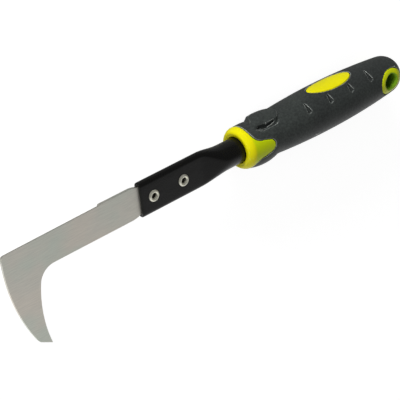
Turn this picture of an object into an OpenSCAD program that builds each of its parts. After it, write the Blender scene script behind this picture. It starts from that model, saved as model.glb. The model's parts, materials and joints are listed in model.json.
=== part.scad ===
// Patio weeding knife: a hooked steel blade riveted into a flattened tube,
// with a two-shot moulded handle. It lies on its side: +X runs along the tool
// towards the blade, +Y towards the tip of the hook, +Z out of the blade's face.
// The origin is the middle of the hang hole, on the tool's long axis.

/* [Blade] */
// Thickness of the blade steel, which is also the slot it is riveted into
blade_t = 2; // [1.5:0.1:3]
// Depth of the blade from spine to inner edge, next to the shank
blade_root = 22.5; // [21:0.1:24]
// Reach of the blade from the mouth of the shank to the front of the hook
blade_reach = 106.2; // [90:0.5:130]
// Length of the tang inside the shank
tang_len = 47; // [42:0.5:48]
// Radius of the rounded shoulders at the blade's root
shoulder_r = 20; // [10:0.5:25]
// Distance from the mouth to the blade's full depth
shoulder_len = 8; // [7.5:0.25:12]
// Distance from the mouth to the step where the ground spine starts
step_from_mouth = 31.5; // [20:0.5:45]
// How far the ground spine is set in at the step
spine_step = 0.4; // [0.2:0.1:2]
// How much further it runs in by the front of the blade
spine_fall = 0.9; // [0:0.1:2.5]
// Radius of the hook's outer edge
hook_outer_r = 129.8; // [115:0.2:145]
// Height of the outer edge's most forward point, measured from the tool's axis
hook_front_y = -3; // [-6:0.1:2]
// Radius of the hook's inner edge
hook_inner_r = 90; // [60:0.5:110]
// Height of the inner edge's most forward point, measured from the tool's axis
hook_inner_y = 40.5; // [36:0.5:46]
// From the hook's front to its inner edge, measured along the tool's axis
hook_w = 22.2; // [18:0.1:26]
// Radius of the inside corner between blade and hook
hook_fillet = 12; // [8:0.5:16]
// Depth of the hook, from the tool's axis to its tip
hook_drop = 64.5; // [58:0.5:70]
// Slope of the cut at the end of the hook
tip_slope = 28; // [20:1:35]
// Radius of the corner at the front of the spine
spine_corner_r = 2; // [0.5:0.1:3]
// Radius of the corner where the hook's outer edge meets the cut at its end
tip_corner_r = 7; // [0.5:0.5:9]
// Width of the bevel ground on the underside
bevel_w = 3; // [1:0.1:4]
// Thickness left at the ground edge
edge_land = 0.7; // [0.3:0.1:1.2]

/* [Shank] */
// Outer diameter of the steel tube
tube_d = 18; // [17:0.2:19.6]
// Wall of the tube
tube_wall = 2; // [1.5:0.1:2.5]
// Length of the flattened end that holds the blade
flat_len = 50; // [49:0.5:56]
// Length over which the round tube is pressed flat
pinch_len = 22; // [15:0.5:28]
// Length of shank between the collar's front and the mouth
shank_bare = 81.3; // [78:0.1:110]
// Length of tube inside the handle
tube_buried = 78; // [55:0.5:90]
// Diameter of the cross hole that locks the tube in the handle
lock_hole_d = 6; // [3:0.2:8]
// Distance from the tube's tail to the cross hole
lock_from_tail = 12; // [8:0.5:16]
// How far the handle's plastic fills the tail of the tube
plug_len = 24; // [20:0.5:30]

/* [Rivets] */
// Distance between the two rivets
rivet_pitch = 25; // [18:0.5:30]
// Distance from the mouth to the front rivet
rivet_from_mouth = 10; // [7:0.5:12]
// Outer diameter of a rivet's barrel
rivet_barrel_d = 5.2; // [4.4:0.1:6]
// Bore through a rivet
rivet_bore_d = 3.8; // [2:0.1:4]
// Diameter over a rivet's rolled rim
rivet_rim_d = 8.1; // [7:0.1:9]
// Gap between a rivet's barrel and its hole
rivet_gap = 0.05; // [0.02:0.01:0.15]
// Gap at each side of the tang inside the shank
tang_gap = 0.05; // [0.02:0.01:0.3]

/* [Handle] */
// Distance from the hang hole to the collar's front
hole_to_collar = 139.4; // [130:0.2:160]
// Distance from the hang hole to the end of the handle
hole_to_butt = 16.9; // [15:0.1:20]
// Largest radius of the handle
belly_r = 16.8; // [16.2:0.1:18]
// Distance from the hang hole to the handle's thickest place
belly_x = 57.5; // [52:0.5:64]
// Radius of the long curve of the handle's side
belly_arc = 607; // [540:1:720]
// Radius of the handle's straight neck
neck_r = 14.85; // [14.2:0.05:15.5]
// Length of the bare collar in front of the grip
collar_len = 7.5; // [6.5:0.25:10]
// Radius of the collar's shoulder
collar_arc = 11; // [9:0.5:13]
// Distance from the grip's front to the middle of the collar's shoulder
collar_rise = 0.5; // [0.2:0.1:1]
// Radius of the collar's nose
nose_r = 1.5; // [1:0.1:2]
// Depth of the funnel between the collar's nose and the shank
funnel_len = 4.5; // [3:0.25:5.5]
// Thickness of the soft grip over the hard core
grip_wall = 3; // [2:0.1:3.4]
// How far the oval and the eye lie below the grip's surface
inlay_set = 0.2; // [0:0.05:0.5]

/* [Hang hole] */
// Diameter of the hang hole
hang_d = 11; // [8:0.2:12]
// Radius of the rounding at the hole's mouths
hang_lip_r = 2.4; // [1:0.1:2.6]
// Length of the oval ring round the hole
eye_len = 22.4; // [20:0.2:24]
// Width of the oval ring round the hole
eye_w = 17.3; // [16.6:0.1:19]
// Fullness of the ring's outline: 2 is an ellipse, and more is blunter
eye_full = 2.1; // [2:0.1:3]

/* [Oval] */
// Length of the oval inlay
oval_len = 40.4; // [30:0.4:50]
// Width of the oval inlay
oval_w = 17.2; // [15:0.2:20]
// Fullness of the oval: 2 is an ellipse, and more is blunter
oval_full = 2.5; // [2:0.1:3]
// Distance from the hang hole to the middle of the oval
oval_x = 50.3; // [46:0.1:56]

/* [Tongues] */
// Length of the collar's two side tongues
tongue_len = 17.4; // [14:0.2:19]
// Radius of a tongue's tip
tongue_tip_r = 4.6; // [3:0.1:5]
// Half width of a tongue where its flare starts
tongue_root = 5.8; // [4.8:0.1:6.5]
// Radius of the flare between a tongue and the collar
tongue_flare_r = 8.5; // [6:0.25:9.5]

/* [Thumb rest and finger guard] */
// Height of the thumb rest's crest above the tool's axis
thumb_crest = 17.6; // [16.6:0.1:18]
// Distance from the front of the grip to the crest of the thumb rest
thumb_back = 18.2; // [16:0.1:22]
// Width of the thumb rest
thumb_w = 17.4; // [15:0.2:20]
// Length of the thumb rest
thumb_len = 26; // [23:0.2:30]
// Radius of the thumb rest's long curve
thumb_arc = 48; // [40:1:60]
// How far the thumb rest's curve is centred above the tool's axis
thumb_lift = 4; // [3:0.25:6]
// Width of the crescent cut beside the thumb rest
crescent_w = 1.4; // [0.8:0.1:2]
// How far the crescent is moved forward, so that it thins out towards the rear
crescent_fore = 0.6; // [0:0.1:1]
// Distance from the middle of the thumb rest, across the tool, to where the crescent starts
crescent_from = 6.6; // [5:0.1:7.5]
// Height of the finger guard's crest below the tool's axis
guard_crest = 17; // [16.2:0.05:17.5]
// Distance from the front of the grip to the crest of the finger guard
guard_back = 12; // [10:0.25:14]
// Radius of the finger guard's long curve
guard_arc = 40; // [34:1:50]
// How far the finger guard's curve is centred below the tool's axis
guard_lift = 2.5; // [1.5:0.1:3.5]

/* [Gills] */
// Number of grooves down each side of the grip
gill_count = 4; // [2:1:4]
// Distance between the grooves
gill_pitch = 20.2; // [16:0.1:21]
// Distance from the hang hole to the rearmost groove
gill_first = 21.6; // [19:0.1:23]
// Width of a groove at its open end
gill_w = 3.8; // [2.4:0.1:4.4]
// How far a groove leans back towards its thin end
gill_lean = 1.2; // [0:0.1:2]
// Depth of the grooves
gill_depth = 1.2; // [0.5:0.1:1.6]
// Height of a groove's open end above the tool's axis
gill_low = 8; // [6:0.2:8.4]
// Height of a groove's thin end above the tool's axis
gill_top = 14.2; // [12:0.2:14.4]

/* [Hidden] */

round_fn = 96;                                  // sides drawn on ordinary circles
long_fn = 360;                                  // sides drawn on the long, flat arcs
over = 1;                                       // how far a cutter passes the face it cuts
tip_lead = 5;                                   // how far the tip's cut runs on into the hook's space

// Where things lie along the tool's axis
collar_front = hole_to_collar;
grip_front = collar_front - collar_len;
mouth_x = collar_front + shank_bare;
tail_x = collar_front - tube_buried;
lock_x = tail_x + lock_from_tail;
flat_x = mouth_x - flat_len;
round_x = flat_x - pinch_len;
rivet_front_x = mouth_x - rivet_from_mouth;
rivet_rear_x = rivet_front_x - rivet_pitch;

// Shank: the tube keeps its girth where it is pressed flat
tube_r = tube_d / 2;
flat_t = blade_t + 2 * tube_wall;
function straight_at(t) = PI * (tube_d - t) / 2;
flat_straight = straight_at(flat_t);
oval_sides = 72;                                // corners round an oval
shank_sides = 48;                               // flats round the tube, which touch its true circle
pinch_steps = 14;
function over_corners(r) = r / cos(180 / shank_sides);
function pinch_ease(s) = s * s * (3 - 2 * s);
function pinch_t(s) = tube_d - (tube_d - flat_t) * pinch_ease(s);

// Blade
tang_w = flat_straight - 2 * tang_gap;
front_x = mouth_x + blade_reach;
step_x = mouth_x + step_from_mouth;
step_run = 2.5 * spine_step;
spine_y = -blade_root / 2;
outer_c = [front_x - hook_outer_r, hook_front_y];
inner_c = [front_x - hook_w - hook_inner_r, hook_inner_y];
spine_angle = atan2(spine_fall, front_x - step_x);
spine_start = [step_x, spine_y + spine_step];

// A round corner of radius r between the straight line through p at angle a and the circle
// round c of radius big, where k is 1 above the line and -1 below it. The corner's own circle
// passes both edges by corner_pass, so that it crosses them instead of just touching.
corner_pass = 0.02;
function line_gap(p, a, q) = (q.y - p.y) * cos(a) - (q.x - p.x) * sin(a);
function line_foot(p, a, q) = q + line_gap(p, a, q) * [sin(a), -cos(a)];
function corner_c(p, a, c, big, r, k) =
    let (inset = r - corner_pass,
         g = k * inset - line_gap(p, a, c),
         along = sqrt(pow(big - inset, 2) - g * g))
    c + g * [-sin(a), cos(a)] + along * [cos(a), sin(a)];
function on_circle(c, big, q) = c + (q - c) * big / norm(q - c);

spine_corner = corner_c(spine_start, spine_angle, outer_c, hook_outer_r, spine_corner_r, 1);
inner_tip_x = inner_c.x + sqrt(pow(hook_inner_r, 2) - pow(hook_drop - hook_inner_y, 2));
tip = [inner_tip_x, hook_drop];
tip_corner = corner_c(tip, -tip_slope, outer_c, hook_outer_r, tip_corner_r, -1);
edge_y = blade_root / 2;
fillet_y = edge_y + hook_fillet;
fillet_c = [inner_c.x + sqrt(pow(hook_inner_r - hook_fillet, 2) - pow(fillet_y - inner_c.y, 2)), fillet_y];
fillet_end = on_circle(inner_c, hook_inner_r, fillet_c);
bevel_start = mouth_x + shoulder_len + bevel_w;
bevel_h = blade_t - edge_land;
tip_turn = asin((hook_drop - inner_c.y) / hook_inner_r);
inner_turn = asin((fillet_end.y - inner_c.y) / hook_inner_r);

// Handle: the butt is a ball that runs into the belly's curve
belly_sink = belly_arc - belly_r;
butt_run = belly_x + hole_to_butt;
butt_r = (belly_arc * belly_arc - butt_run * butt_run - belly_sink * belly_sink)
    / (2 * (belly_arc - butt_run));
butt_x = butt_r - hole_to_butt;
butt_turn = atan2(belly_x - butt_x, belly_sink);
neck_x = belly_x + sqrt(belly_arc * belly_arc - pow(belly_sink + neck_r, 2));
function skin_at(x) = sqrt(belly_arc * belly_arc - pow(x - belly_x, 2)) - belly_sink;
lip_z = skin_at(0) - inlay_set - hang_lip_r;

// Collar: shoulder, nose and funnel, as radius and place along the axis
shoulder_c = [neck_r - collar_arc, grip_front + collar_rise];
nose_run = collar_front - nose_r - shoulder_c.y;
nose_c = [shoulder_c.x + sqrt(pow(collar_arc - nose_r, 2) - nose_run * nose_run), collar_front - nose_r];
nose_far = shoulder_c + (nose_c - shoulder_c) * 3;
funnel_foot = [over_corners(tube_r), collar_front - funnel_len];
funnel_gap = norm(nose_c - funnel_foot);
funnel_turn = atan2(nose_c.y - funnel_foot.y, nose_c.x - funnel_foot.x) + asin(nose_r / funnel_gap);
funnel_end = funnel_foot
    + sqrt(funnel_gap * funnel_gap - nose_r * nose_r) * [cos(funnel_turn), sin(funnel_turn)];

thumb_x = grip_front - thumb_back;
guard_x = grip_front - guard_back;
handle_reach = collar_front + hole_to_butt;
handle_spare = 10;                              // what cutters have beyond the handle's width
wide = 2 * belly_r + handle_spare;              // wider than anything on the handle

// ---- helpers ----

// Turns a shape made round Z so that it lies along +X
module along_x() {
    rotate([0, 90, 0]) children();
}

module both_sides() {
    children();
    mirror([0, 0, 1]) children();
}

// Lays a flat outline drawn as [x, z] across the tool, from y = from to y = to
module across_y(from, to) {
    translate([0, to, 0]) rotate([90, 0, 0]) linear_extrude(to - from) children();
}

// What lies between two tangent points and outside the circle that touches both
module corner_piece(c, r, one, far, two) {
    difference() {
        polygon([c, one, far, two]);
        translate(c) circle(r = r, $fn = round_fn);
    }
}

// ---- blade ----

module hook_space() {
    difference() {
        intersection() {
            translate(inner_c) circle(r = hook_inner_r, $fn = long_fn);
            translate([mouth_x - tang_len - over, edge_y]) square([tang_len + blade_reach, hook_drop]);
        }
        corner_piece(fillet_c, hook_fillet,
            [fillet_c.x, edge_y],
            [fillet_end.x, edge_y] + [over, -over],
            fillet_end);
    }
}

module shoulders() {
    for (side = [-1, 1]) difference() {
        translate([mouth_x - tang_len - over, side > 0 ? tang_w / 2 : -blade_root])
            square([tang_len + shoulder_len + over, blade_root - tang_w / 2]);
        translate([mouth_x + shoulder_len, side * (blade_root / 2 - shoulder_r)])
            circle(r = shoulder_r, $fn = 2 * round_fn);
    }
}

module spine_set_in() {
    far_x = front_x + over;
    polygon([
        [step_x - step_run, spine_y - over],
        [step_x - step_run, spine_y],
        spine_start,
        [far_x, spine_start.y + (far_x - step_x) * tan(spine_angle)],
        [far_x, spine_y - over]
    ]);
}

module blade_outline() {
    far_x = front_x + over;
    near_x = tip.x - tip_lead;
    function tip_line(x) = tip.y - (x - tip.x) * tan(tip_slope);
    difference() {
        intersection() {
            translate(outer_c) circle(r = hook_outer_r, $fn = long_fn);
            polygon([
                [mouth_x - tang_len, spine_y],
                [far_x, spine_y],
                [far_x, tip_line(far_x)],
                [near_x, tip_line(near_x)],
                [inner_c.x, tip_line(near_x)],
                [mouth_x - tang_len, edge_y]
            ]);
        }
        hook_space();
        shoulders();
        spine_set_in();
        corner_piece(spine_corner, spine_corner_r,
            line_foot(spine_start, spine_angle, spine_corner),
            [front_x + over, spine_y - over],
            on_circle(outer_c, hook_outer_r, spine_corner));
        corner_piece(tip_corner, tip_corner_r,
            line_foot(tip, -tip_slope, tip_corner),
            tip_corner + 2 * [tip_corner_r, tip_corner_r],
            on_circle(outer_c, hook_outer_r, tip_corner));
    }
}

// Section of a bevel: full height at the edge, nothing at bevel_w from it
module bevel_section(edge) {
    slope = bevel_h / bevel_w;
    polygon([
        [edge - over, -blade_t / 2 - over],
        [edge - over, -blade_t / 2 + bevel_h + over * slope],
        [edge + bevel_w, -blade_t / 2],
        [edge + bevel_w, -blade_t / 2 - over]
    ]);
}

module bevel_round(c, r, from, to) {
    translate(c) rotate([0, 0, from])
        rotate_extrude(angle = to - from, $fn = long_fn) bevel_section(r);
}

// A bevel that starts at p and runs towards angle a, with the blade on its left
module bevel_straight(p, a, run) {
    translate(p) rotate([0, 0, a]) rotate([90, 0, 90]) linear_extrude(run) bevel_section(0);
}

module bevels() {
    bevel_straight(spine_start, spine_angle, front_x - step_x + over);
    bevel_straight([fillet_c.x, edge_y], 180, fillet_c.x - bevel_start);
    bevel_round(fillet_c, hook_fillet, 0, 360);  // beyond the corner its neighbours cut deeper
    bevel_round(inner_c, hook_inner_r, inner_turn, tip_turn + 3);
}

module blade() {
    color([0.66, 0.65, 0.62]) difference() {
        translate([0, 0, -blade_t / 2]) linear_extrude(blade_t) blade_outline();
        bevels();
        for (x = [rivet_front_x, rivet_rear_x]) rivet_hole(x);
    }
}

// ---- shank ----

// Flat oval: straight sides joined by half circles
module slot_outline(straight, t) {
    square([t, straight], center = true);
    for (side = [-1, 1]) translate([0, side * straight / 2]) circle(d = t, $fn = round_fn);
}

// The same flat oval as a ring of points round the tool's axis
function tube_ring(x, straight, t) = [
    for (i = [0 : shank_sides - 1])
        let (a = (i + 0.5) * 360 / shank_sides, side = cos(a) > 0 ? 1 : -1)
        [x, side * straight / 2 + over_corners(t / 2) * cos(a), over_corners(t / 2) * sin(a)]
];

// The whole tube as one skin outside and one inside: round, then pinched, then flat
module pressed_tube() {
    stations = concat(
        [[tail_x, tube_d]],
        [for (i = [0 : pinch_steps]) [round_x + pinch_len * i / pinch_steps, pinch_t(i / pinch_steps)]],
        [[mouth_x, flat_t]]
    );
    outside = [for (s = stations) each tube_ring(s[0], straight_at(s[1]), s[1])];
    inside = [for (s = stations) each tube_ring(s[0], straight_at(s[1]), s[1] - 2 * tube_wall)];
    n = shank_sides;
    skin = len(outside);
    end = skin - n;
    function next(j) = (j + 1) % n;
    polyhedron(concat(outside, inside), concat(
        [for (i = [0 : n : end - n], j = [0 : n - 1])
            [i + j, i + n + j, i + n + next(j), i + next(j)]],
        [for (i = [skin : n : skin + end - n], j = [0 : n - 1])
            [i + next(j), i + n + next(j), i + n + j, i + j]],
        [for (j = [0 : n - 1]) [j, next(j), skin + next(j), skin + j]],
        [for (j = [0 : n - 1]) [end + next(j), end + j, skin + end + j, skin + end + next(j)]]
    ));
}

module tube_solid(r, from, to) {
    translate([from, 0, 0]) along_x() cylinder(r = r, h = to - from, $fn = round_fn);
}

module lock_pin() {
    translate([lock_x, 0, 0]) rotate([90, 0, 0])
        cylinder(d = lock_hole_d, h = 2 * (tube_r + over), center = true, $fn = round_fn);
}

module shank() {
    color([0.1, 0.1, 0.1]) difference() {
        pressed_tube();
        lock_pin();
        for (x = [rivet_front_x, rivet_rear_x]) rivet_hole(x);
    }
}

// ---- rivets ----

module rivet_hole(x) {
    translate([x, 0, 0])
        cylinder(d = rivet_barrel_d + 2 * rivet_gap, h = flat_t + 2 * over, center = true, $fn = round_fn);
}

// Hollow rivet with a rolled rim on each face of the shank
module rivet(x) {
    rim_r = (rivet_rim_d - rivet_bore_d) / 4;
    translate([x, 0, 0]) rotate_extrude($fn = round_fn) {
        translate([rivet_bore_d / 2, -flat_t / 2]) square([(rivet_barrel_d - rivet_bore_d) / 2, flat_t]);
        for (side = [-1, 1]) intersection() {
            translate([rivet_bore_d / 2 + rim_r, side * flat_t / 2]) circle(r = rim_r, $fn = round_fn);
            translate([0, side > 0 ? flat_t / 2 : -flat_t / 2 - rim_r]) square([rivet_rim_d, rim_r]);
        }
    }
}

module rivet_front() {
    color([0.79, 0.78, 0.73]) rivet(rivet_front_x);
}

module rivet_rear() {
    color([0.79, 0.78, 0.73]) rivet(rivet_rear_x);
}

// ---- handle ----

// Half section of the handle's plain skin, set in by the given amount
module handle_section(inset) {
    intersection() {
        union() {
            translate([0, butt_x]) circle(r = butt_r - inset, $fn = 2 * round_fn);
            intersection() {
                translate([-belly_sink, belly_x]) circle(r = belly_arc - inset, $fn = 2 * long_fn);
                polygon([
                    [0, butt_x],
                    [wide, butt_x - wide * tan(butt_turn)],
                    [wide, grip_front],
                    [0, grip_front]
                ]);
            }
            translate([0, belly_x]) square([neck_r - inset, grip_front - belly_x]);
        }
        translate([0, -hole_to_butt - over]) square([wide, grip_front + hole_to_butt + over]);
    }
}

module handle_skin(inset) {
    along_x() rotate_extrude($fn = 2 * round_fn) handle_section(inset);
}

// Oval of the given fullness: 2 draws an ellipse, and more makes its ends blunter
module oval_outline(length, width, fullness) {
    function filled(v) = sign(v) * pow(abs(v), 2 / fullness);
    polygon([
        for (i = [0 : oval_sides - 1])
            let (a = (i + 0.5) * 360 / oval_sides)
            [length / 2 * filled(cos(a)), width / 2 * filled(sin(a))]
    ]);
}

// A tongue seen from the side: round tip, slight taper, then a flare into the collar
module tongue_outline() {
    tip_x = grip_front - tongue_len + tongue_tip_r;
    flare_x = grip_front - tongue_flare_r;
    flare_y = tongue_root + tongue_flare_r;
    translate([tip_x, 0]) circle(r = tongue_tip_r, $fn = round_fn);
    polygon([
        [tip_x, -tongue_tip_r],
        [flare_x, -tongue_root],
        [flare_x, tongue_root],
        [tip_x, tongue_tip_r]
    ]);
    difference() {
        translate([flare_x, -flare_y]) square([tongue_flare_r, 2 * flare_y]);
        for (side = [-1, 1]) translate([flare_x, side * flare_y]) circle(r = tongue_flare_r, $fn = round_fn);
    }
}

module oval_post() {
    across_y(-wide / 2, 0) translate([oval_x, 0]) oval_outline(oval_len, oval_w, oval_full);
}

module tongue_posts() {
    linear_extrude(wide, center = true) tongue_outline();
}

module eye_post() {
    linear_extrude(wide, center = true) oval_outline(eye_len, eye_w, eye_full);
}

module collar() {
    along_x() rotate_extrude($fn = 2 * round_fn) {
        intersection() {
            translate(shoulder_c) circle(r = collar_arc, $fn = 2 * round_fn);
            polygon([
                [0, grip_front],
                [wide, grip_front],
                [wide, nose_far.y],
                nose_far,
                nose_c,
                funnel_end,
                funnel_foot,
                [0, funnel_foot.y]
            ]);
        }
        translate([0, grip_front]) square([neck_r, shoulder_c.y - grip_front]);
        translate(nose_c) circle(r = nose_r, $fn = round_fn);
    }
}

// The hang hole with its rounded mouths
module hang_hole() {
    cylinder(d = hang_d, h = wide, center = true, $fn = round_fn);
    both_sides() rotate_extrude($fn = round_fn) difference() {
        translate([0, lip_z]) square([hang_d / 2 + hang_lip_r, wide / 2 - lip_z]);
        translate([hang_d / 2 + hang_lip_r, lip_z]) circle(r = hang_lip_r, $fn = round_fn);
    }
}

module handle_core() {
    color([0.88, 0.86, 0.08]) {
        difference() {
            union() {
                handle_skin(grip_wall);
                intersection() {
                    handle_skin(inlay_set);
                    union() {
                        oval_post();
                        eye_post();
                    }
                }
                intersection() {
                    handle_skin(0);
                    tongue_posts();
                }
                collar();
            }
            tube_solid(over_corners(tube_r), tail_x, collar_front + over);
            hang_hole();
        }
        tube_solid(tube_r - tube_wall, tail_x, tail_x + plug_len);
        intersection() {
            lock_pin();
            tube_solid(over_corners(tube_r), tail_x, tail_x + plug_len);
        }
    }
}

// A curved swelling: an arc turned round a line set off from the tool's axis
module swelling(x, crest, arc, lift) {
    translate([0, lift, 0]) along_x() rotate_extrude($fn = 2 * round_fn) intersection() {
        translate([crest - abs(lift) - arc, x]) circle(r = arc, $fn = 2 * long_fn);
        translate([0, x - arc / 2]) square([wide, grip_front - x + arc / 2]);
    }
}

module thumb_outline() {
    translate([thumb_x, 0]) rotate([0, 0, 90]) slot_outline(thumb_len - thumb_w, thumb_w);
}

module thumb_rest() {
    intersection() {
        swelling(thumb_x, thumb_crest, thumb_arc, -thumb_lift);
        across_y(-wide / 2, 0) thumb_outline();
    }
}

module finger_guard() {
    intersection() {
        swelling(guard_x, guard_crest, guard_arc, guard_lift);
        translate([0, 0, -wide / 2]) cube([grip_front, wide, wide]);
    }
}

module crescent() {
    across_y(-wide / 2, 0) difference() {
        translate([crescent_fore, crescent_w]) thumb_outline();
        thumb_outline();
        translate([0, -wide / 2]) square([grip_front, wide / 2 + crescent_from]);
    }
}

// A groove: thin at the top, widening to a slanted foot
module gill() {
    linear_extrude(wide) polygon([
        [0, -gill_low],
        [-gill_lean, -gill_top],
        [-gill_lean - gill_w / 8, -gill_top],
        [-gill_w, -gill_low - gill_w / 4]
    ]);
}

module grip() {
    color([0.26, 0.28, 0.28]) difference() {
        union() {
            handle_skin(0);
            thumb_rest();
            finger_guard();
        }
        handle_skin(grip_wall);
        oval_post();
        tongue_posts();
        eye_post();
        difference() {
            both_sides() {
                crescent();
                for (i = [0 : gill_count - 1]) translate([gill_first + i * gill_pitch, 0, 0]) gill();
            }
            handle_skin(gill_depth);
        }
    }
}

blade();
shank();
rivet_front();
rivet_rear();
handle_core();
grip();
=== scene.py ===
import json
import math

import bpy
from mathutils import Matrix, Vector

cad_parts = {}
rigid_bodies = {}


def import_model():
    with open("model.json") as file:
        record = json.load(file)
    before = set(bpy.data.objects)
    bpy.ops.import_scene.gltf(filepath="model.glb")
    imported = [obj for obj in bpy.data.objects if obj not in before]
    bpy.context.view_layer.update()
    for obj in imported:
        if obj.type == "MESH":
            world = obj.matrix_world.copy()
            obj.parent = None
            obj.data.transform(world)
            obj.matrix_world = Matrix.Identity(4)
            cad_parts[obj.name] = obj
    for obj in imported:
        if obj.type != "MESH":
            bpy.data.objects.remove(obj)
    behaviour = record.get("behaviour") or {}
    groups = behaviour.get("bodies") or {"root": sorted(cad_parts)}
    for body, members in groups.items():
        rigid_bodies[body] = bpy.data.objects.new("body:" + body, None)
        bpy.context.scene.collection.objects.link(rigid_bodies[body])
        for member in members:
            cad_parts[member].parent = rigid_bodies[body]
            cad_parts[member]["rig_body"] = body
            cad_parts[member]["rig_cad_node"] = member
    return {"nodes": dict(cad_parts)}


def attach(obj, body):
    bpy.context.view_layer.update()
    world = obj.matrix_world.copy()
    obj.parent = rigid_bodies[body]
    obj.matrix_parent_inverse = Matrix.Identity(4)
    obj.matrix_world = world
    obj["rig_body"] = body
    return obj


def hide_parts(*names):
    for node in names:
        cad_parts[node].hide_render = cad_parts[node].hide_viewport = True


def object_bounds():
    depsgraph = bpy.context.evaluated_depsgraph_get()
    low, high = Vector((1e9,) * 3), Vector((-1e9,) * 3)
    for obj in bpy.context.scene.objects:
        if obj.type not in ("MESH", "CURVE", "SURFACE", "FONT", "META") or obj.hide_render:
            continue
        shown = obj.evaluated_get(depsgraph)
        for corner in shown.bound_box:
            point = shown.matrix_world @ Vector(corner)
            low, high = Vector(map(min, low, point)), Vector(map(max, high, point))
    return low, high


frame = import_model()
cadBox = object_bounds()
nodes = frame["nodes"]
print("frame loaded:", ", ".join(sorted(nodes)))

# Where the photograph shows things, in its own 400 x 400 frame
imagePoints = {
    "objectLeft": (0.4, 260.4),
    "objectRight": (399.4, 76.0),
    "objectTop": (381.0, 56.2),
    "objectBottom": (43.0, 343.0),
    "bladeCorner": (1.8, 258.5),
    "hookPoint": (51.9, 342.0),
    "frontRivet": (154.0, 195.1),
    "rearRivet": (183.5, 179.7),
    "tongueTip": (276.2, 143.3),
    "ovalFrontEnd": (306.8, 90.7),
    "frontGill": (307.9, 114.6),
    "rearGill": (370.7, 84.6),
}
photoSize = (400, 400)

view = {
    "target": (0.1719, 0.0218, 0.0),
    "distance": 1.0427,
    "azimuth": 48.28,
    "tilt": 46.78,
    "roll": 114.51,
    "lens": 144.0,
    "sensor": 36.0,
    "clip": (0.05, 50.0),
}


def turnTo(azimuth, tilt, roll):
    turn = Matrix.Rotation(math.radians(azimuth), 3, "Z")
    turn = turn @ Matrix.Rotation(math.radians(tilt), 3, "X")
    return turn @ Matrix.Rotation(math.radians(roll), 3, "Z")


def addCamera():
    data = bpy.data.cameras.new("photoCamera")
    data.sensor_fit = "AUTO"
    data.sensor_width = view["sensor"]
    data.lens = view["lens"]
    data.clip_start, data.clip_end = view["clip"]
    camera = bpy.data.objects.new("photoCamera", data)
    bpy.context.collection.objects.link(camera)
    turn = turnTo(view["azimuth"], view["tilt"], view["roll"])
    place = Vector(view["target"]) + turn @ Vector((0, 0, view["distance"]))
    camera.matrix_world = Matrix.Translation(place) @ turn.to_4x4()
    bpy.context.scene.camera = camera
    return camera


camera = addCamera()
print("camera placed")


def shownAt(place):
    # Where a point of the model shows, in the photograph's frame
    width, height = photoSize
    seen = camera.matrix_world.inverted() @ Vector(place)
    scale = max(width, height) * view["lens"] / view["sensor"] / -seen.z
    return width / 2 + seen.x * scale, height / 2 - seen.y * scale


class Value:
    # A socket of a shader, which can be used in plain arithmetic
    def __init__(self, finish, socket):
        self.finish = finish
        self.socket = socket

    def maths(self, operation, first, second):
        return self.finish.node("ShaderNodeMath", {"operation": operation}, {0: first, 1: second})

    def __add__(self, other):
        return self.maths("ADD", self, other)

    def __rsub__(self, other):
        return self.maths("SUBTRACT", other, self)

    def __mul__(self, other):
        return self.maths("MULTIPLY", self, other)

    def __abs__(self):
        return self.maths("ABSOLUTE", self, 0.0)

    def __pow__(self, other):
        return self.maths("POWER", self, other)

    __radd__ = __add__
    __rmul__ = __mul__


class Finish:
    # One material: its Principled shader, and the nodes that vary it
    def __init__(self, name, steady):
        self.material = bpy.data.materials.new(name)
        self.material.use_nodes = True
        self.tree = self.material.node_tree
        self.shader = self.tree.nodes["Principled BSDF"]
        for socket, value in steady.items():
            self.shader.inputs[socket].default_value = value

    def node(self, kind, settings, sockets, out=0):
        made = self.tree.nodes.new(kind)
        for name, value in settings.items():
            setattr(made, name, value)
        for name, value in sockets.items():
            if isinstance(value, Value):
                self.tree.links.new(value.socket, made.inputs[name])
            else:
                made.inputs[name].default_value = value
        return Value(self, made.outputs[out])

    def place(self):
        return self.node("ShaderNodeTexCoord", {}, {}, out="Object")

    def axes(self, vector):
        return [self.node("ShaderNodeSeparateXYZ", {}, {0: vector}, out=axis) for axis in "XYZ"]

    def stretched(self, vector, scale):
        return self.node("ShaderNodeMapping", {}, {"Vector": vector, "Scale": scale})

    def noise(self, vector, scale, detail=2.0, roughness=0.5):
        return self.node("ShaderNodeTexNoise", {}, {
            "Vector": vector, "Scale": scale, "Detail": detail, "Roughness": roughness})

    def ramp(self, value, low, high, start=0.0, end=1.0):
        # Goes smoothly from start at low to end at high
        return self.node("ShaderNodeMapRange", {"interpolation_type": "SMOOTHSTEP"}, {
            "Value": value, "From Min": low, "From Max": high, "To Min": start, "To Max": end})

    def mix(self, factor, first, second):
        return self.node("ShaderNodeMix", {"data_type": "RGBA"}, {0: factor, 6: first, 7: second}, out=2)

    def shade(self, colour, amount):
        return self.node("ShaderNodeVectorMath", {"operation": "SCALE"}, {0: colour, "Scale": amount})

    def bump(self, height, distance, strength=1.0):
        return self.node("ShaderNodeBump", {}, {
            "Height": height, "Distance": distance, "Strength": strength})

    def feed(self, socket, value):
        self.tree.links.new(value.socket, self.shader.inputs[socket])


def rgb(red, green, blue):
    # A colour as it is read off a picture, from 0 to 255
    linear = [((c / 255 + 0.055) / 1.055) ** 2.4 if c > 10 else c / 255 / 12.92 for c in (red, green, blue)]
    return (*linear, 1.0)


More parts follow.
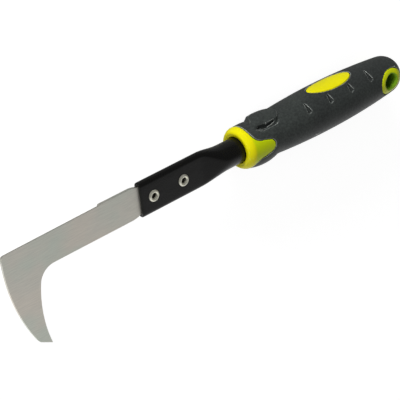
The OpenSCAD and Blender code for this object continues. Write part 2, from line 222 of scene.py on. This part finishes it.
def bladeSteel():
    looks = {
        "middle": rgb(226, 223, 213),
        "warm": rgb(230, 224, 213),
        "cool": rgb(218, 223, 212),
        "grain": 2600.0,
        "blotch": 30.0,
    }
    steel = Finish("bladeSteel", {"Metallic": 0.9, "Specular IOR Level": 0.4})
    place = steel.place()
    streaks = steel.noise(steel.stretched(place, (0.05, 1.0, 1.0)), looks["grain"], detail=4.0)
    fine = steel.noise(place, looks["grain"], detail=3.0)
    broad = steel.noise(place, looks["blotch"], detail=2.0)
    tint = steel.noise(steel.stretched(place, (1.0, 1.3, 1.0)), looks["blotch"] * 0.7, detail=2.0)
    colour = steel.mix(steel.ramp(broad, 0.42, 0.62), looks["middle"], looks["cool"])
    colour = steel.mix(steel.ramp(tint, 0.45, 0.62), colour, looks["warm"])
    steel.feed("Base Color", steel.shade(colour, steel.ramp(streaks, 0.25, 0.75, 0.93, 1.07)))
    steel.feed("Roughness", steel.ramp(streaks + fine, 0.6, 1.4, 0.40, 0.50))
    steel.feed("Normal", steel.bump(streaks * 0.6 + fine, 0.00002, 0.30))
    return steel.material


def shankBlack():
    looks = {"colour": rgb(12, 12, 11), "peel": 420.0, "wave": 70.0, "fine": 2400.0}
    coat = Finish("shankBlack", {"Base Color": looks["colour"], "Specular IOR Level": 0.3})
    place = coat.place()
    peel = coat.noise(place, looks["peel"], detail=2.0)
    fine = coat.noise(place, looks["fine"], detail=2.0)
    coat.feed("Roughness", coat.ramp(fine, 0.3, 0.7, 0.22, 0.32))
    wave = coat.noise(coat.stretched(place, (0.4, 1.0, 1.0)), looks["wave"], detail=2.0)
    coat.feed("Normal", coat.bump(peel + wave * 5 + fine * 0.1, 0.00008, 0.5))
    return coat.material


def rivetNickel():
    looks = {"colour": rgb(236, 234, 218), "soilAndShade": rgb(88, 84, 70), "bore": rgb(34, 32, 26),
             "boreShadeFade": (0.0002, 0.0012), "scuffs": 1800.0}
    nickel = Finish("rivetNickel", {"Metallic": 0.8})
    place = nickel.place()
    scuffs = nickel.noise(place, looks["scuffs"], detail=4.0)
    # Painted shade: the bore colour darkens the inside of the hollow rivet, more so deeper below its face
    height = abs(nickel.axes(place)[2])
    inside = nickel.ramp(height, *(rivetFace - depth for depth in looks["boreShadeFade"]))
    colour = nickel.mix(nickel.ramp(scuffs, 0.45, 0.8, 0.0, 0.3), looks["colour"], looks["soilAndShade"])
    nickel.feed("Base Color", nickel.mix(inside, colour, looks["bore"]))
    nickel.feed("Roughness", nickel.ramp(scuffs, 0.3, 0.7, 0.24, 0.38))
    nickel.feed("Normal", nickel.bump(scuffs, 0.00003, 0.3))
    return nickel.material


def coreYellow():
    looks = {
        "lip": rgb(234, 226, 8),
        "tongue": rgb(200, 218, 6),
        "ring": rgb(206, 218, 12),
        "bore": rgb(112, 156, 30),
        "edgeHighlight": rgb(240, 240, 120),
        "grain": 1500.0,
        "cloud": 60.0,
    }
    plastic = Finish("coreYellow", {"Specular IOR Level": 0.25})
    place = plastic.place()
    grain = plastic.noise(place, looks["grain"], detail=3.0)
    cloud = plastic.noise(place, looks["cloud"], detail=2.0)
    along, across, _ = plastic.axes(place)
    # The tongue is darker and greener than the lip: partly a tint of the thin plastic over the dark grip,
    # partly painted shade for its side that faces away from the light
    behindLip = plastic.ramp(along, core["lipEnd"], core["lipEnd"] - core["fade"])
    behindTongue = plastic.ramp(along, core["tongueEnd"], core["tongueEnd"] - core["fade"])
    colour = plastic.mix(behindLip * (1 - behindTongue), looks["lip"], looks["tongue"])
    edges = plastic.node("ShaderNodeNewGeometry", {}, {}, out="Pointiness")
    # Painted highlight: convex edges are made lighter, where light catches the rounded edges
    colour = plastic.mix(plastic.ramp(edges, 0.55, 0.66, 0.0, 0.5), colour, looks["edgeHighlight"])
    colour = plastic.mix(plastic.ramp(along, *core["ringEnd"]), colour, looks["ring"])
    # Painted shade: round and inside the hang hole the plastic takes the dark green bore colour
    fromHole = (along ** 2 + across ** 2) ** 0.5
    holeShade = plastic.ramp(fromHole, *core["holeShadeRim"])
    colour = plastic.mix(holeShade, colour, looks["bore"])
    plastic.feed("Base Color", plastic.shade(colour, plastic.ramp(cloud, 0.3, 0.7, 0.96, 1.03)))
    plastic.feed("Roughness", plastic.ramp(grain, 0.3, 0.7, 0.32, 0.42))
    plastic.feed("Normal", plastic.bump(grain, 0.00003, 0.35))
    return plastic.material


def gripRubber():
    looks = {
        "colour": rgb(57, 61, 59),
        "dark": rgb(51, 54, 53),
        "edgeHighlight": rgb(150, 154, 150),
        "soilAndShade": rgb(14, 15, 14),
        "grit": 750.0,
        "pores": 2600.0,
        "cloud": 45.0,
    }
    rubber = Finish("gripRubber", {"Specular IOR Level": 0.2})
    place = rubber.place()
    pores = rubber.noise(place, looks["pores"], detail=4.0, roughness=0.6)
    cloud = rubber.noise(place, looks["cloud"], detail=2.0)
    edges = rubber.node("ShaderNodeNewGeometry", {}, {}, out="Pointiness")
    colour = rubber.mix(rubber.ramp(cloud, 0.35, 0.65), looks["colour"], looks["dark"])
    # Painted highlight: convex edges, such as the gills' front lips, are made light grey, where light catches
    # them
    colour = rubber.mix(rubber.ramp(edges, 0.508, 0.55), colour, looks["edgeHighlight"])
    # Painted shade: concave creases, such as the hollows of the gills and crescents, are made near black
    colour = rubber.mix(rubber.ramp(edges, 0.49, 0.44), colour, looks["soilAndShade"])
    grit = rubber.noise(place, looks["grit"], detail=3.0)
    rubber.feed("Base Color", rubber.shade(colour, rubber.ramp(grit, 0.3, 0.7, 0.80, 1.24)))
    rubber.feed("Roughness", rubber.ramp(pores, 0.3, 0.7, 0.44, 0.54))
    rubber.feed("Normal", rubber.bump(pores + grit * 2, 0.00006, 0.45))
    return rubber.material


def chooseNone():
    bpy.ops.object.select_all(action="DESELECT")


def makeActive(piece):
    chooseNone()
    piece.select_set(True)
    bpy.context.view_layer.objects.active = piece


def applyModifier(piece, kind, settings):
    makeActive(piece)
    modifier = piece.modifiers.new(kind.title(), kind)
    for name, value in settings.items():
        setattr(modifier, name, value)
    bpy.ops.object.modifier_apply(modifier=modifier.name)


def copyOf(node, name):
    # The CAD mesh is loose triangles, so its corners are merged first
    piece = nodes[node].copy()
    piece.data = nodes[node].data.copy()
    piece.name = name
    piece.parent = None
    piece.data.name = name
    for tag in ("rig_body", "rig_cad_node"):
        if tag in piece:
            del piece[tag]
    bpy.context.collection.objects.link(piece)
    makeActive(piece)
    if piece.data.has_custom_normals:
        bpy.ops.mesh.customdata_custom_splitnormals_clear()
    bpy.ops.object.mode_set(mode="EDIT")
    bpy.ops.mesh.select_all(action="SELECT")
    bpy.ops.mesh.remove_doubles(threshold=0.000002)
    bpy.ops.mesh.normals_make_consistent(inside=False)
    bpy.ops.object.mode_set(mode="OBJECT")
    return piece


def dress(piece, node, material):
    piece.data.materials.clear()
    piece.data.materials.append(material)
    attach(piece, "root")
    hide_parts(node)
    print(piece.name, "made:", len(piece.data.polygons), "faces")


def wear(node, material):
    nodes[node].data.materials.clear()
    nodes[node].data.materials.append(material)


def chooseVertices(piece, wanted):
    # Chooses by place, and stays in edit mode
    bpy.ops.object.mode_set(mode="EDIT")
    bpy.ops.mesh.select_mode(type="VERT")
    bpy.ops.mesh.select_all(action="DESELECT")
    bpy.ops.object.mode_set(mode="OBJECT")
    for vertex in piece.data.vertices:
        vertex.select = wanted(vertex.co)
    bpy.ops.object.mode_set(mode="EDIT")


blade = {
    "flatAngle": 1.0,      # degrees, for merging the CAD's coplanar triangles
    "edgeWidth": 0.00022,
    "edgeAngle": 28.0,
    "smoothAngle": 20.0,
}


def makeBlade(material):
    piece = copyOf("blade", "hookedBlade")
    bpy.ops.object.mode_set(mode="EDIT")
    bpy.ops.mesh.select_all(action="SELECT")
    bpy.ops.mesh.dissolve_limited(angle_limit=math.radians(blade["flatAngle"]))
    bpy.ops.object.mode_set(mode="OBJECT")
    applyModifier(piece, "BEVEL", {
        "width": blade["edgeWidth"], "segments": 2, "limit_method": "ANGLE",
        "angle_limit": math.radians(blade["edgeAngle"]), "harden_normals": False})
    makeActive(piece)
    bpy.ops.object.shade_smooth_by_angle(angle=math.radians(blade["smoothAngle"]))
    dress(piece, "blade", material)


shank = {
    "tail": 0.0614,
    "pinchStart": 0.1487,
    "flatStart": 0.1707,
    "mouth": 0.2207,
    "tube": 0.018,
    "flat": 0.006,
    "wall": 0.002,
    "pinchSteps": 12,
    "flatSteps": 6,
    "roundSteps": 5,
    "sides": 48,
    "lip": 0.0006,
    "lipAngle": 60.0,
    "smoothAngle": 35.0,
    "rivets": (0.2107, 0.1857),
    "rivetHole": 0.0053,
    "lockHole": (0.0734, 0.006),
    "holeSides": 66,       # so that no corner of a cutter lies on the tube's own lines
}
rivetFace = shank["flat"] / 2


def straightAt(thickness):
    return math.pi * (shank["tube"] - thickness) / 2


def shankStations():
    stations = []
    for step in range(shank["roundSteps"] + 1):
        share = step / shank["roundSteps"]
        stations.append((shank["tail"] + (shank["pinchStart"] - shank["tail"]) * share, shank["tube"]))
    for step in range(1, shank["pinchSteps"] + 1):
        share = step / shank["pinchSteps"]
        eased = share * share * (3 - 2 * share)
        stations.append((shank["pinchStart"] + (shank["flatStart"] - shank["pinchStart"]) * share,
                         shank["tube"] - (shank["tube"] - shank["flat"]) * eased))
    for step in range(1, shank["flatSteps"] + 1):
        share = step / shank["flatSteps"]
        stations.append((shank["flatStart"] + (shank["mouth"] - shank["flatStart"]) * share, shank["flat"]))
    return stations


def spreadRing(piece, x, gap):
    # Moves the two halves of the newest ring apart, or together, across the tool
    for side in (1, -1):
        chooseVertices(piece, lambda co: abs(co.x - x) < 0.00001 and co.y * side > 0)
        bpy.ops.transform.translate(value=(0, side * gap, 0))
    chooseVertices(piece, lambda co: abs(co.x - x) < 0.00001)


def cutHole(piece, place, axisTurn, radius, depth):
    chooseNone()
    bpy.ops.mesh.primitive_cylinder_add(vertices=shank["holeSides"], radius=radius, depth=depth,
                                        location=place, rotation=axisTurn)
    cutter = bpy.context.object
    applyModifier(piece, "BOOLEAN", {"operation": "DIFFERENCE", "object": cutter, "solver": "EXACT"})
    bpy.data.objects.remove(cutter)


def makeShank(material):
    chooseNone()
    stations = shankStations()
    halfStep = math.pi / shank["sides"]
    bpy.ops.mesh.primitive_circle_add(vertices=shank["sides"], radius=shank["tube"] / 2,
                                      location=(stations[0][0], 0, 0), rotation=(0, math.pi / 2, 0))
    piece = bpy.context.object
    piece.name = "pressedShank"
    bpy.ops.object.transform_apply(location=True, rotation=True, scale=True)
    bpy.ops.object.mode_set(mode="EDIT")
    bpy.ops.mesh.select_all(action="SELECT")
    bpy.ops.transform.rotate(value=halfStep, orient_axis="X", center_override=(stations[0][0], 0, 0))
    thickness = shank["tube"]
    for (before, _), (x, wanted) in zip(stations, stations[1:]):
        bpy.ops.mesh.extrude_edges_move(TRANSFORM_OT_translate={"value": (x - before, 0, 0)})
        if wanted != thickness:
            spreadRing(piece, x, -straightAt(thickness) / 2)
            share = wanted / thickness
            bpy.ops.transform.resize(value=(1, share, share), center_override=(x, 0, 0))
            spreadRing(piece, x, straightAt(wanted) / 2)
        thickness = wanted
    bpy.ops.mesh.select_all(action="SELECT")
    bpy.ops.mesh.normals_make_consistent(inside=False)
    bpy.ops.object.mode_set(mode="OBJECT")
    applyModifier(piece, "SOLIDIFY", {"thickness": shank["wall"], "offset": -1.0, "use_even_offset": True})
    applyModifier(piece, "BEVEL", {"width": shank["lip"], "segments": 3, "limit_method": "ANGLE",
                                   "angle_limit": math.radians(shank["lipAngle"])})
    applyModifier(piece, "SUBSURF", {"levels": 1, "render_levels": 1})
    for x in shank["rivets"]:
        cutHole(piece, (x, 0, 0), (0, 0, 0), shank["rivetHole"] / 2, shank["tube"])
    lockX, lockSize = shank["lockHole"]
    cutHole(piece, (lockX, 0, 0), (math.pi / 2, 0, 0), lockSize / 2, 2 * shank["tube"])
    makeActive(piece)
    bpy.ops.object.mode_set(mode="EDIT")
    bpy.ops.mesh.select_all(action="SELECT")
    bpy.ops.mesh.remove_doubles(threshold=0.0000005)
    bpy.ops.mesh.dissolve_degenerate(threshold=0.0000005)
    bpy.ops.object.mode_set(mode="OBJECT")
    bpy.ops.object.shade_smooth_by_angle(angle=math.radians(shank["smoothAngle"]))
    dress(piece, "shank", material)


handle = {
    "buttX": -0.003215,
    "buttRadius": 0.013685,
    "buttJoin": -0.0046,
    "bellyX": 0.0575,
    "bellyRadius": 0.0168,
    "bellyArc": 0.607,
    "neckRadius": 0.01485,
    "gripFront": 0.1319,
    "gripWall": 0.003,
    "seamBack": -0.0155,
    "seamDepth": 0.0010,
    "seamWidth": 0.0006,
}

oval = {
    "x": 0.0504,
    "z": 0.0016,
    "length": 0.0392,
    "width": 0.0136,
    "tilt": 1.5,           # degrees, its rear end towards +Z
    "inlaySet": 0.0001,
    "windowFront": 0.0735,
    "windowBack": 0.0275,
    "windowSide": 0.0098,
    "windowTop": -0.020,
    "depth": 0.012,
}


def handleRadius(x):
    if x < handle["buttJoin"]:
        return math.sqrt(handle["buttRadius"] ** 2 - (x - handle["buttX"]) ** 2)
    sink = handle["bellyArc"] - handle["bellyRadius"]
    belly = math.sqrt(handle["bellyArc"] ** 2 - (x - handle["bellyX"]) ** 2) - sink
    return max(belly, handle["neckRadius"]) if x > handle["bellyX"] else belly


def stationsBetween(start, end, inset, step=0.0015):
    count = round((end - start) / step)
    places = [start + (end - start) * k / count for k in range(count + 1)]
    return [(x, handleRadius(x) - inset) for x in places]


def turned(name, stations, sides=128):
    # A solid turned about the tool's axis: one disc, pushed out from station to station
    chooseNone()
    firstX, firstRadius = stations[0]
    bpy.ops.mesh.primitive_circle_add(vertices=sides, radius=firstRadius, fill_type="NGON",
                                      location=(firstX, 0, 0), rotation=(0, math.pi / 2, 0))
    piece = bpy.context.object
    piece.name = name
    bpy.ops.object.transform_apply(location=True, rotation=True, scale=True)
    bpy.ops.object.mode_set(mode="EDIT")
    bpy.ops.mesh.select_all(action="SELECT")
    for (beforeX, beforeRadius), (x, radius) in zip(stations, stations[1:]):
        bpy.ops.mesh.extrude_region_move(TRANSFORM_OT_translate={"value": (x - beforeX, 0, 0)})
        share = radius / beforeRadius
        bpy.ops.transform.resize(value=(1, share, share), center_override=(x, 0, 0))
    bpy.ops.mesh.select_all(action="SELECT")
    bpy.ops.mesh.normals_make_consistent(inside=False)
    bpy.ops.object.mode_set(mode="OBJECT")
    return piece


def block(low, high):
    chooseNone()
    middle = [(a + b) / 2 for a, b in zip(low, high)]
    bpy.ops.mesh.primitive_cube_add(size=1, location=middle, scale=[b - a for a, b in zip(low, high)])
    bpy.ops.object.transform_apply(location=True, rotation=True, scale=True)
    return bpy.context.object


def ovalWindow(bottom):
    # The block round the oval, down to a height in y
    back, front, side = oval["windowBack"], oval["windowFront"], oval["windowSide"]
    return block((back, oval["windowTop"], -side), (front, bottom, side))


def ovalShell(name, inset, beyond):
    # The handle's turned shape under the oval's window
    return turned(name, stationsBetween(oval["windowBack"] - beyond, oval["windowFront"] + beyond, inset))


def ovalPrism():
    chooseNone()
    bpy.ops.mesh.primitive_cylinder_add(
        vertices=96, radius=1, depth=1, location=(oval["x"], oval["windowTop"] + oval["depth"] / 2, oval["z"]),
        rotation=(math.pi / 2, math.radians(oval["tilt"]), 0),
        scale=(oval["length"] / 2, oval["width"] / 2, oval["depth"]))
    bpy.ops.object.transform_apply(location=True, rotation=True, scale=True)
    return bpy.context.object


def scoop(start, end, halfWidth, depth):
    # A drop-shaped cutter that lies along the skin from start to end, each (x, angle, radius)
    def onSkin(x, angle, radius):
        return Vector((x, -radius * math.cos(math.radians(angle)), radius * math.sin(math.radians(angle))))
    first, last = onSkin(*start), onSkin(*end)
    middle = (first + last) / 2
    along = (last - first).normalized()
    outward = Vector((0, middle.y, middle.z)).normalized()
    across = outward.cross(along).normalized()
    outward = along.cross(across)
    chooseNone()
    bpy.ops.mesh.primitive_uv_sphere_add(segments=32, ring_count=20, radius=1)
    piece = bpy.context.object
    axes = Matrix((along * (last - first).length / 2, across * halfWidth, outward * depth)).transposed()
    piece.matrix_world = Matrix.Translation(middle) @ axes.to_4x4()
    bpy.ops.object.transform_apply(location=True, rotation=True, scale=True)
    return piece


def mirrored(piece):
    # The same cutter for the other side of the handle
    makeActive(piece)
    bpy.ops.object.duplicate()
    other = bpy.context.object
    other.scale = (1, 1, -1)
    bpy.ops.object.transform_apply(location=True, rotation=True, scale=True)
    bpy.ops.object.mode_set(mode="EDIT")
    bpy.ops.mesh.select_all(action="SELECT")
    bpy.ops.mesh.normals_make_consistent(inside=False)
    bpy.ops.object.mode_set(mode="OBJECT")
    return other


def joined(pieces):
    makeActive(pieces[0])
    for piece in pieces[1:]:
        piece.select_set(True)
    if len(pieces) > 1:
        bpy.ops.object.join()
    return pieces[0]


def combine(piece, tool, operation="DIFFERENCE", keep=False):
    applyModifier(piece, "BOOLEAN", {"operation": operation, "object": tool, "solver": "EXACT"})
    if not keep:
        bpy.data.objects.remove(tool)


def mould(piece, sizes):
    # Rounds every edge a little, as a moulding has them
    applyModifier(piece, "REMESH", {"mode": "VOXEL", "voxel_size": sizes["voxel"]})
    applyModifier(piece, "SMOOTH", {"factor": 0.5, "iterations": sizes["smooth"]})


def thin(piece, sizes):
    share = sizes["triangles"] / (2 * len(piece.data.polygons))
    if share < 1:
        applyModifier(piece, "DECIMATE", {"ratio": share})
    makeActive(piece)
    bpy.ops.object.shade_smooth()


core = {
    "voxel": 0.00036,
    "smooth": 5,
    "triangles": 150000,
    "lipStart": 0.1320,
    "lipShare": 0.69,      # how much of the lip's length is kept
    "lipFill": (0.1325, 0.1367, 0.0119),
    "bore": 0.00935,
    "padBottom": -0.005,
    "lipEnd": 0.1329,
    "tongueEnd": 0.112,
    "fade": 0.0025,
    "ringEnd": (0.020, 0.016),
    "holeShadeRim": (0.0072, 0.0058),
}


def seamTool(source):
    # What a thin seam round the yellow parts takes out of the grip
    makeActive(source)
    bpy.ops.object.duplicate()
    tool = bpy.context.object
    underSeam = stationsBetween(handle["seamBack"], handle["gripFront"], handle["seamDepth"])
    combine(tool, turned("underSeam", underSeam))
    makeActive(tool)
    bpy.ops.object.mode_set(mode="EDIT")
    bpy.ops.mesh.select_all(action="SELECT")
    bpy.ops.transform.shrink_fatten(value=handle["seamWidth"])
    bpy.ops.object.mode_set(mode="OBJECT")
    return tool


def makeCore(material):
    piece = copyOf("handle_core", "handleCore")
    chooseVertices(piece, lambda co: co.x > core["lipStart"])
    bpy.ops.transform.resize(value=(core["lipShare"], 1, 1), center_override=(core["lipStart"], 0, 0))
    bpy.ops.object.mode_set(mode="OBJECT")
    oldPad = ovalWindow(core["padBottom"])
    combine(oldPad, ovalShell("coreBody", handle["gripWall"], 0.001))
    combine(piece, oldPad)
    tools = [seamTool(piece)]
    pad = ovalShell("ovalPad", oval["inlaySet"], 0.001)
    combine(pad, ovalPrism(), "INTERSECT")
    tools.append(seamTool(pad))
    fillStart, fillEnd, fillRadius = core["lipFill"]
    fill = turned("lipFill", [(fillStart, fillRadius), (fillEnd, fillRadius)])
    combine(fill, turned("bore", [(fillStart - 0.001, core["bore"]), (fillEnd + 0.001, core["bore"])]))
    piece = joined([piece, pad, fill])
    mould(piece, core)
    thin(piece, core)
    dress(piece, "handle_core", material)
    return tools


grip = {
    "voxel": 0.00034,
    "smooth": 5,
    "triangles": 190000,
    "gills": (0.0216, 0.0418, 0.0620, 0.0822),
    "gillScoop": ((-0.0008, 46.0, 0.0161), (-0.0026, 58.0, 0.0162), 0.0011, 0.0015),
    "gillSlit": ((-0.0002, 23.0, 0.0165), (0.0002, 57.0, 0.0160), 0.0004, 0.0012),
    "crescent": (
        ((0.1236, 27.0, 0.0152), (0.1150, 38.5, 0.0146), 0.0011, 0.0026),
        ((0.1195, 37.0, 0.0146), (0.1075, 32.0, 0.0158), 0.0008, 0.0020),
    ),
    "padFront": ((0.1222, 0.0178), (0.1250, 0.01485)),
    "padFrontSide": 0.0030,
    "padFrontClear": (0.001, 0.0007, 0.006),
    "padFrontOver": (0.0045, 0.024),
    "padFrontTurn": 22.0,
    "patchBottom": -0.008,
    "softRadius": 0.0135,
    "soft": (
        # front and back along the tool, from and to round the handle, rounds of smoothing
        (0.1285, 0.1165, 8.0, 33.0, (40, 30, 30)),
        (0.1092, 0.1020, 27.0, 42.0, (15, 10)),
    ),
}


def angleOf(co):
    # Round the handle, from -Y towards +Z
    return math.degrees(math.atan2(co.z, -co.y))


def padFrontTool():
    (backX, backRadius), (frontX, frontRadius) = grip["padFront"]
    early, lift, past = grip["padFrontClear"]
    over, outside = grip["padFrontOver"]
    tool = turned("padFront", [(backX, outside), (frontX + over, outside)])
    combine(tool, turned("slope", [(backX - early, backRadius + lift), (frontX, frontRadius),
                                   (frontX + past, frontRadius)]))
    combine(tool, block((0.11, -0.03, -0.03), (0.14, 0, grip["padFrontSide"])), "INTERSECT")
    # The front edge runs back on the far side
    middle = Vector((frontX, 0, 0))
    turn = Matrix.Rotation(math.radians(grip["padFrontTurn"]), 4, "Y")
    tool.matrix_world = Matrix.Translation(middle) @ turn @ Matrix.Translation(-middle)
    makeActive(tool)
    bpy.ops.object.transform_apply(location=True, rotation=True, scale=True)
    return tool


def soften(piece):
    # Where the thumb rest runs out into the handle without an edge
    for front, back, low, high, passes in grip["soft"]:
        for step, rounds in enumerate(passes):
            inset = step / len(passes) / 3
            x0, x1 = front - (front - back) * inset, back + (front - back) * inset
            a0, a1 = low + (high - low) * inset, high - (high - low) * inset
            chooseVertices(piece, lambda co: x1 < co.x < x0 and a0 < angleOf(co) < a1
                           and math.hypot(co.y, co.z) > grip["softRadius"])
            bpy.ops.mesh.vertices_smooth(factor=0.5, repeat=rounds)
    bpy.ops.object.mode_set(mode="OBJECT")


def makeGrip(material, tools):
    piece = copyOf("grip", "softGrip")
    patch = ovalShell("ovalPatch", 0.0, 0.001)
    combine(patch, ovalShell("coreSpace", handle["gripWall"], 0.002))
    combine(patch, ovalWindow(grip["patchBottom"]), "INTERSECT")
    combine(patch, ovalPrism())
    for tool in tools:
        combine(patch, tool, keep=True)
        combine(piece, tool)
    slits, pits = [], []
    for x in grip["gills"]:
        for group, (start, end, halfWidth, depth) in ((slits, grip["gillSlit"]), (pits, grip["gillScoop"])):
            cutter = scoop((x + start[0], *start[1:]), (x + end[0], *end[1:]), halfWidth, depth)
            group += [cutter, mirrored(cutter)]
    for group, sizes in zip((slits, pits), grip["crescent"]):
        cutter = scoop(*sizes)
        group += [cutter, mirrored(cutter)]
    for group in (slits, pits):
        cutter = joined(group)
        combine(patch, cutter, keep=True)
        combine(piece, cutter)
    combine(piece, padFrontTool())
    piece = joined([piece, patch])
    mould(piece, grip)
    soften(piece)
    thin(piece, grip)
    dress(piece, "grip", material)


studio = {
    "floorSize": 12.0,
    "floorGap": 0.0002,
    "floorColour": 0.35,
    "floorGlow": 0.88,
    "floorShine": (-0.005, 0.015, 0.15, 1.0),
    "worldLight": 0.15,
    "worldShine": ((0.15, 0.14), (0.85, 1.0)),
    "lamps": {
        # name: direction it comes from, distance, size, watts
        "topLamp": ((0.3, -1.0, 0.20), 1.4, 0.5, 17.0),
        "lowLamp": ((0.1, 1.0, 0.25), 1.3, 0.8, 5.0),
        "frontLamp": ((1.0, -0.3, 0.45), 1.4, 0.7, 5.0),
    },
}


def addFloor(low):
    chooseNone()
    bpy.ops.mesh.primitive_plane_add(size=studio["floorSize"], location=(0, 0, low - studio["floorGap"]))
    floor = bpy.context.object
    floor.name = "studioFloor"
    paint = Finish("floorWhite", {"Base Color": (studio["floorColour"],) * 3 + (1.0,), "Roughness": 1.0,
                                  "Specular IOR Level": 0.0, "Emission Color": (1, 1, 1, 1)})
    light = paint.tree.nodes.new("ShaderNodeLightPath")
    # Reflections of the floor are dim on the side away from the hook
    dimSide = paint.ramp(paint.axes(paint.place())[1], *studio["floorShine"])
    seen = Value(paint, light.outputs["Is Camera Ray"]) + Value(paint, light.outputs["Is Transmission Ray"])
    seen = seen + Value(paint, light.outputs["Is Glossy Ray"]) * dimSide
    paint.feed("Emission Strength", seen * studio["floorGlow"])
    floor.data.materials.append(paint.material)


def setWorld():
    # In reflections the surroundings are bright on the hook's side and dim on the other
    world = bpy.data.worlds.new("studioWorld")
    bpy.context.scene.world = world
    world.use_nodes = True
    tree = world.node_tree
    background = tree.nodes["Background"]
    background.inputs["Color"].default_value = (1, 1, 1, 1)
    path = tree.nodes.new("ShaderNodeLightPath")
    facing = tree.nodes.new("ShaderNodeSeparateXYZ")
    around = tree.nodes.new("ShaderNodeTexCoord")
    tree.links.new(around.outputs["Generated"], facing.inputs[0])
    shine = tree.nodes.new("ShaderNodeMapRange")
    shine.interpolation_type = "SMOOTHSTEP"
    (low, dim), (high, bright) = studio["worldShine"]
    for socket, value in (("From Min", low), ("From Max", high), ("To Min", dim), ("To Max", bright)):
        shine.inputs[socket].default_value = value
    tree.links.new(facing.outputs["Y"], shine.inputs["Value"])
    strength = None
    for ray in ("Is Glossy Ray", "Is Transmission Ray", "Is Camera Ray"):
        step = tree.nodes.new("ShaderNodeMapRange")
        step.inputs["To Max"].default_value = 1.0
        if ray == "Is Glossy Ray":
            step.inputs["To Min"].default_value = studio["worldLight"]
            tree.links.new(shine.outputs[0], step.inputs["To Max"])
        else:
            tree.links.new(strength, step.inputs["To Min"])
        tree.links.new(path.outputs[ray], step.inputs["Value"])
        strength = step.outputs[0]
    tree.links.new(strength, background.inputs["Strength"])


def addLamp(name, direction, distance, size, watts):
    data = bpy.data.lights.new(name, "AREA")
    data.shape = "DISK"
    data.size = size
    data.energy = watts
    lamp = bpy.data.objects.new(name, data)
    bpy.context.collection.objects.link(lamp)
    lamp.visible_glossy = False
    away = Vector(direction).normalized()
    turn = away.to_track_quat("Z", "Y").to_matrix().to_4x4()
    lamp.matrix_world = Matrix.Translation(Vector(view["target"]) + away * distance) @ turn


makeBlade(bladeSteel())
makeShank(shankBlack())
nickel = rivetNickel()
for node in ("rivet_front", "rivet_rear"):
    wear(node, nickel)
print("rivets dressed")
seamTools = makeCore(coreYellow())
makeGrip(gripRubber(), seamTools)

addFloor(cadBox[0][2])
setWorld()
for name, lamp in studio["lamps"].items():
    addLamp(name, *lamp)
bpy.context.scene.view_settings.view_transform = "Standard"
print("studio lit")

# Places of the named features, in metres
features = {
    "frontRivet": (shank["rivets"][0], 0, rivetFace),
    "rearRivet": (shank["rivets"][1], 0, rivetFace),
    "tongueTip": (0.1145, 0, 0.01485),
    "ovalFrontEnd": (0.0704, -0.0165, 0.0013),
    "frontGill": (0.0822, -0.008, 0.0142),
    "rearGill": (0.0216, -0.008, 0.0136),
}


def shownVertices():
    seen = []
    for piece in bpy.data.objects:
        if piece.type == "MESH" and piece.name != "studioFloor" and not piece.hide_render:
            seen += [shownAt(vertex.co) for vertex in piece.data.vertices]
    return seen


def writePoints():
    seen = shownVertices()
    shown = {
        "objectLeft": min(seen),
        "objectRight": max(seen),
        "objectTop": min(seen, key=lambda spot: spot[1]),
        "objectBottom": max(seen, key=lambda spot: spot[1]),
        "bladeCorner": min(seen, key=lambda spot: 2 * spot[0] + spot[1]),
        "hookPoint": max((spot for spot in seen if spot[0] < 100), key=lambda spot: spot[0] * 0.4 + spot[1]),
    }
    shown.update({name: shownAt(place) for name, place in features.items()})
    for name, spot in shown.items():
        point = imagePoints[name]
        round(spot[0] - point[0], 2)
        round(spot[1] - point[1], 2)


writePoints()
